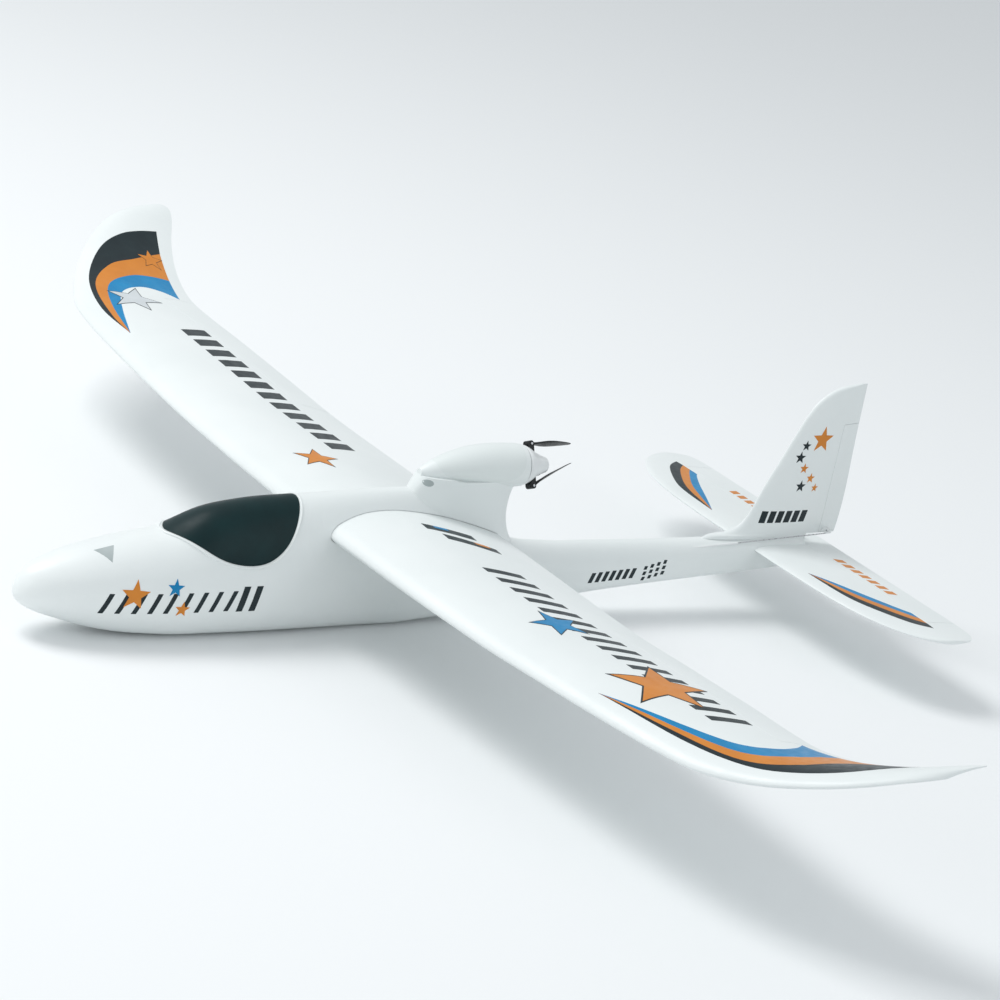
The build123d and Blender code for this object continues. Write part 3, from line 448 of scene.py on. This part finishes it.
def from_side_films(side, name, outlines, material, tree=BODY_TREE, lift=1.0):
    """Films on the fuselage or fin, seen from one side."""
    decal(f"{SIDE_NAMES[side]}_{name}", outlines, from_side(side), INWARD[side], tree, material, "airframe",
          lift=lift)


for side in (PORT, STARBOARD):
    from_side_films(side, "nose_bars", NOSE_ROW + NOSE_THICK, BLACK)
    for name, centre, radius, material in NOSE_STARS:
        from_side_films(side, f"nose_{name}", [star(centre, radius, NOSE_TURN)], material, lift=OVER)
    from_side_films(side, "boom_bars", BOOM_ROW + BOOM_MARKS, BLACK)
    from_side_films(side, "fin_bars", FIN_ROW, BLACK, FIN_TREE)
    for name, centre, radius, material in FIN_STARS:
        from_side_films(side, f"fin_star_{name}", [star(centre, radius, FIN_TURN)], material, FIN_TREE)

# ------------------------------------------------------------------ painted shade in the nose recess and air inlet, canopy lip


def oval(centre, half_width, half_height, sides=24):
    """Oval outline."""
    turns = [tau * i / sides for i in range(sides)]
    return [Vector((centre[0] + half_width * cos(a), centre[1] + half_height * sin(a))) for a in turns]


RECESS = [(9, 66), (25, 78), (9, 86)]  # distance to port, station
INLET = oval((417, 146), 5, 3.2)
# Painted shade: flat grey films laid where the nose recess and the air inlet hollow in, in place of their
# shadow
decal("nose_recess_painted_shade", [RECESS], from_above(PORT), DOWN, BODY_TREE, PAINTED_HOLLOW_SHADE, "airframe")
decal("port_air_inlet_painted_shade", [INLET], from_side(PORT), INWARD[PORT], BODY_TREE, PAINTED_HOLLOW_SHADE, "airframe")
CANOPY_RIM = [  # station, height
    (139, 96.5), (153, 94.5), (181, 82), (210, 74.5), (236, 76.5), (257, 90), (271.5, 114), (278, 130),
]
RIM_RADIUS = 0.0012
RIM_SIDES = 8
RIM_CREASE = 60


def rim_line(side):
    """Line on the fuselage skin just below the canopy's edge, front to back."""
    line = []
    to_space = from_side(side)
    for point in curve_through([(s, z, 0) for s, z in CANOPY_RIM], steps=10):
        hit = BODY_TREE.ray_cast(to_space(point.x, point.y), Vector(INWARD[side]))[0]
        if hit is not None:
            line.append(hit)
    return line


def build_rim():
    """Raised foam lip that the canopy sits in."""
    loop = rim_line(PORT) + list(reversed(rim_line(STARBOARD)))
    work = bmesh.new()
    rings = []
    for i, centre in enumerate(loop):
        along = (loop[(i + 1) % len(loop)] - loop[i - 1]).normalized()
        outward = along.cross(Vector((0, 0, 1))).normalized()
        across = along.cross(outward)
        turns = [tau * k / RIM_SIDES for k in range(RIM_SIDES)]
        rings.append([work.verts.new(centre + RIM_RADIUS * (outward * cos(a) + across * sin(a)))
                      for a in turns])
    for i, ring in enumerate(rings):
        after = rings[(i + 1) % len(rings)]
        for k in range(RIM_SIDES):
            work.faces.new((ring[k], ring[(k + 1) % RIM_SIDES], after[(k + 1) % RIM_SIDES], after[k]))
    bmesh.ops.recalc_face_normals(work, faces=work.faces)
    smooth_by_angle(piece_from("canopy_rim", work, WHITE_FOAM, "airframe"), RIM_CREASE)


build_rim()

# ------------------------------------------------------------------ decals on the tail

STAB_TREE = surface_tree("stabiliser")
ELEVATOR_TREE = surface_tree("elevator")
ELEVATOR_ROW = bars((46, 938), (124, 940), 7, 8, 12, 2)
TAIL_START = (80, 873)
TAIL_EDGES = (
    [(127, 876), (158, 884), (198, 908), (214, 930)],
    [(126, 882), (155, 893), (188, 915), (203, 931)],
    [(125, 889), (151, 901), (178, 920), (191, 931)],
    [(122, 896), (146, 909), (168, 923), (178, 931)],
)

for side in (PORT, STARBOARD):
    sweep_films(side, "tail", TAIL_START, TAIL_EDGES, STAB_TREE, "airframe")
    decal(f"{SIDE_NAMES[side]}_elevator_bars", ELEVATOR_ROW, from_above(side), DOWN, ELEVATOR_TREE, ORANGE,
          "elevator")

# ------------------------------------------------------------------ stage, lights, camera

FLOOR_HALF = 30.0
FLOOR_GAP = 0.0002  # the floor lies this far under the belly


def build_floor():
    """Plain pale studio floor."""
    work = bmesh.new()
    bmesh.ops.create_grid(work, x_segments=2, y_segments=2, size=FLOOR_HALF)
    mesh = bpy.data.meshes.new("floor")
    work.to_mesh(mesh)
    work.free()
    material, tree, shader = new_material("studio_floor")
    shader.inputs["Base Color"].default_value = (0.86, 0.875, 0.88, 1)
    shader.inputs["Roughness"].default_value = 0.9
    shader.inputs["Specular IOR Level"].default_value = 0.1
    mesh.materials.append(material)
    floor = bpy.data.objects.new("floor", mesh)
    floor.location.z = cad_box[0][2] - FLOOR_GAP
    bpy.context.scene.collection.objects.link(floor)


def aim(obj, target):
    """Points an object's -Z at the target."""
    away = (obj.location - Vector(target)).normalized()
    obj.rotation_euler = away.to_track_quat("Z", "Y").to_euler()


LIGHTS_AIM = (0, 0.1, 0.1)


def area_light(name, location, size, power, colour=(1, 1, 1)):
    """Soft rectangular lamp aimed at the glider."""
    data = bpy.data.lights.new(name, "AREA")
    data.shape = "RECTANGLE"
    data.size, data.size_y = size
    data.energy = power
    data.color = colour
    lamp = bpy.data.objects.new(name, data)
    lamp.location = location
    aim(lamp, LIGHTS_AIM)
    bpy.context.scene.collection.objects.link(lamp)


def build_lights():
    """Even sky with a soft key from above, a cool fill and a light on the nose."""
    world = bpy.data.worlds.new("studio")
    world.use_nodes = True
    background = world.node_tree.nodes["Background"]
    background.inputs["Color"].default_value = (0.93, 0.97, 1.0, 1)
    background.inputs["Strength"].default_value = 0.66
    bpy.context.scene.world = world
    area_light("key", (-1.4, -1.4, 3.2), (1.8, 1.8), 74)
    area_light("fill", (3.0, 1.6, 1.8), (2.0, 2.0), 10, (0.90, 0.97, 1.0))
    area_light("nose", (0.6, -3.0, 1.0), (1.6, 1.2), 10)


CAMERA_TARGET = (0.0, 0.1348, 0.1230)
CAMERA_AZIMUTH, CAMERA_ELEVATION, CAMERA_ROLL = 49.618, 18.559, 14.674
CAMERA_DISTANCE = 3.3331
LENS, SENSOR, FAR_CLIP = 123.97, 36, 100


def build_camera():
    """Camera on a long lens, slightly rolled, off the port bow."""
    azimuth, elevation, roll = (radians(a) for a in (CAMERA_AZIMUTH, CAMERA_ELEVATION, CAMERA_ROLL))
    back = Vector((sin(azimuth) * cos(elevation), -cos(azimuth) * cos(elevation), sin(elevation)))
    right = (-back).cross(Vector((0, 0, 1))).normalized()
    up = right.cross(-back)
    turned_right = right * cos(roll) + up * sin(roll)
    turned_up = up * cos(roll) - right * sin(roll)
    data = bpy.data.cameras.new("camera")
    data.lens = LENS
    data.sensor_width = SENSOR
    data.clip_end = FAR_CLIP
    camera = bpy.data.objects.new("camera", data)
    axes = Matrix((turned_right, turned_up, back)).transposed()
    camera.matrix_world = Matrix.Translation(Vector(CAMERA_TARGET) + back * CAMERA_DISTANCE) @ axes.to_4x4()
    bpy.context.scene.collection.objects.link(camera)
    bpy.context.scene.camera = camera


build_floor()
build_lights()
build_camera()
bpy.context.scene.view_settings.view_transform = "Standard"
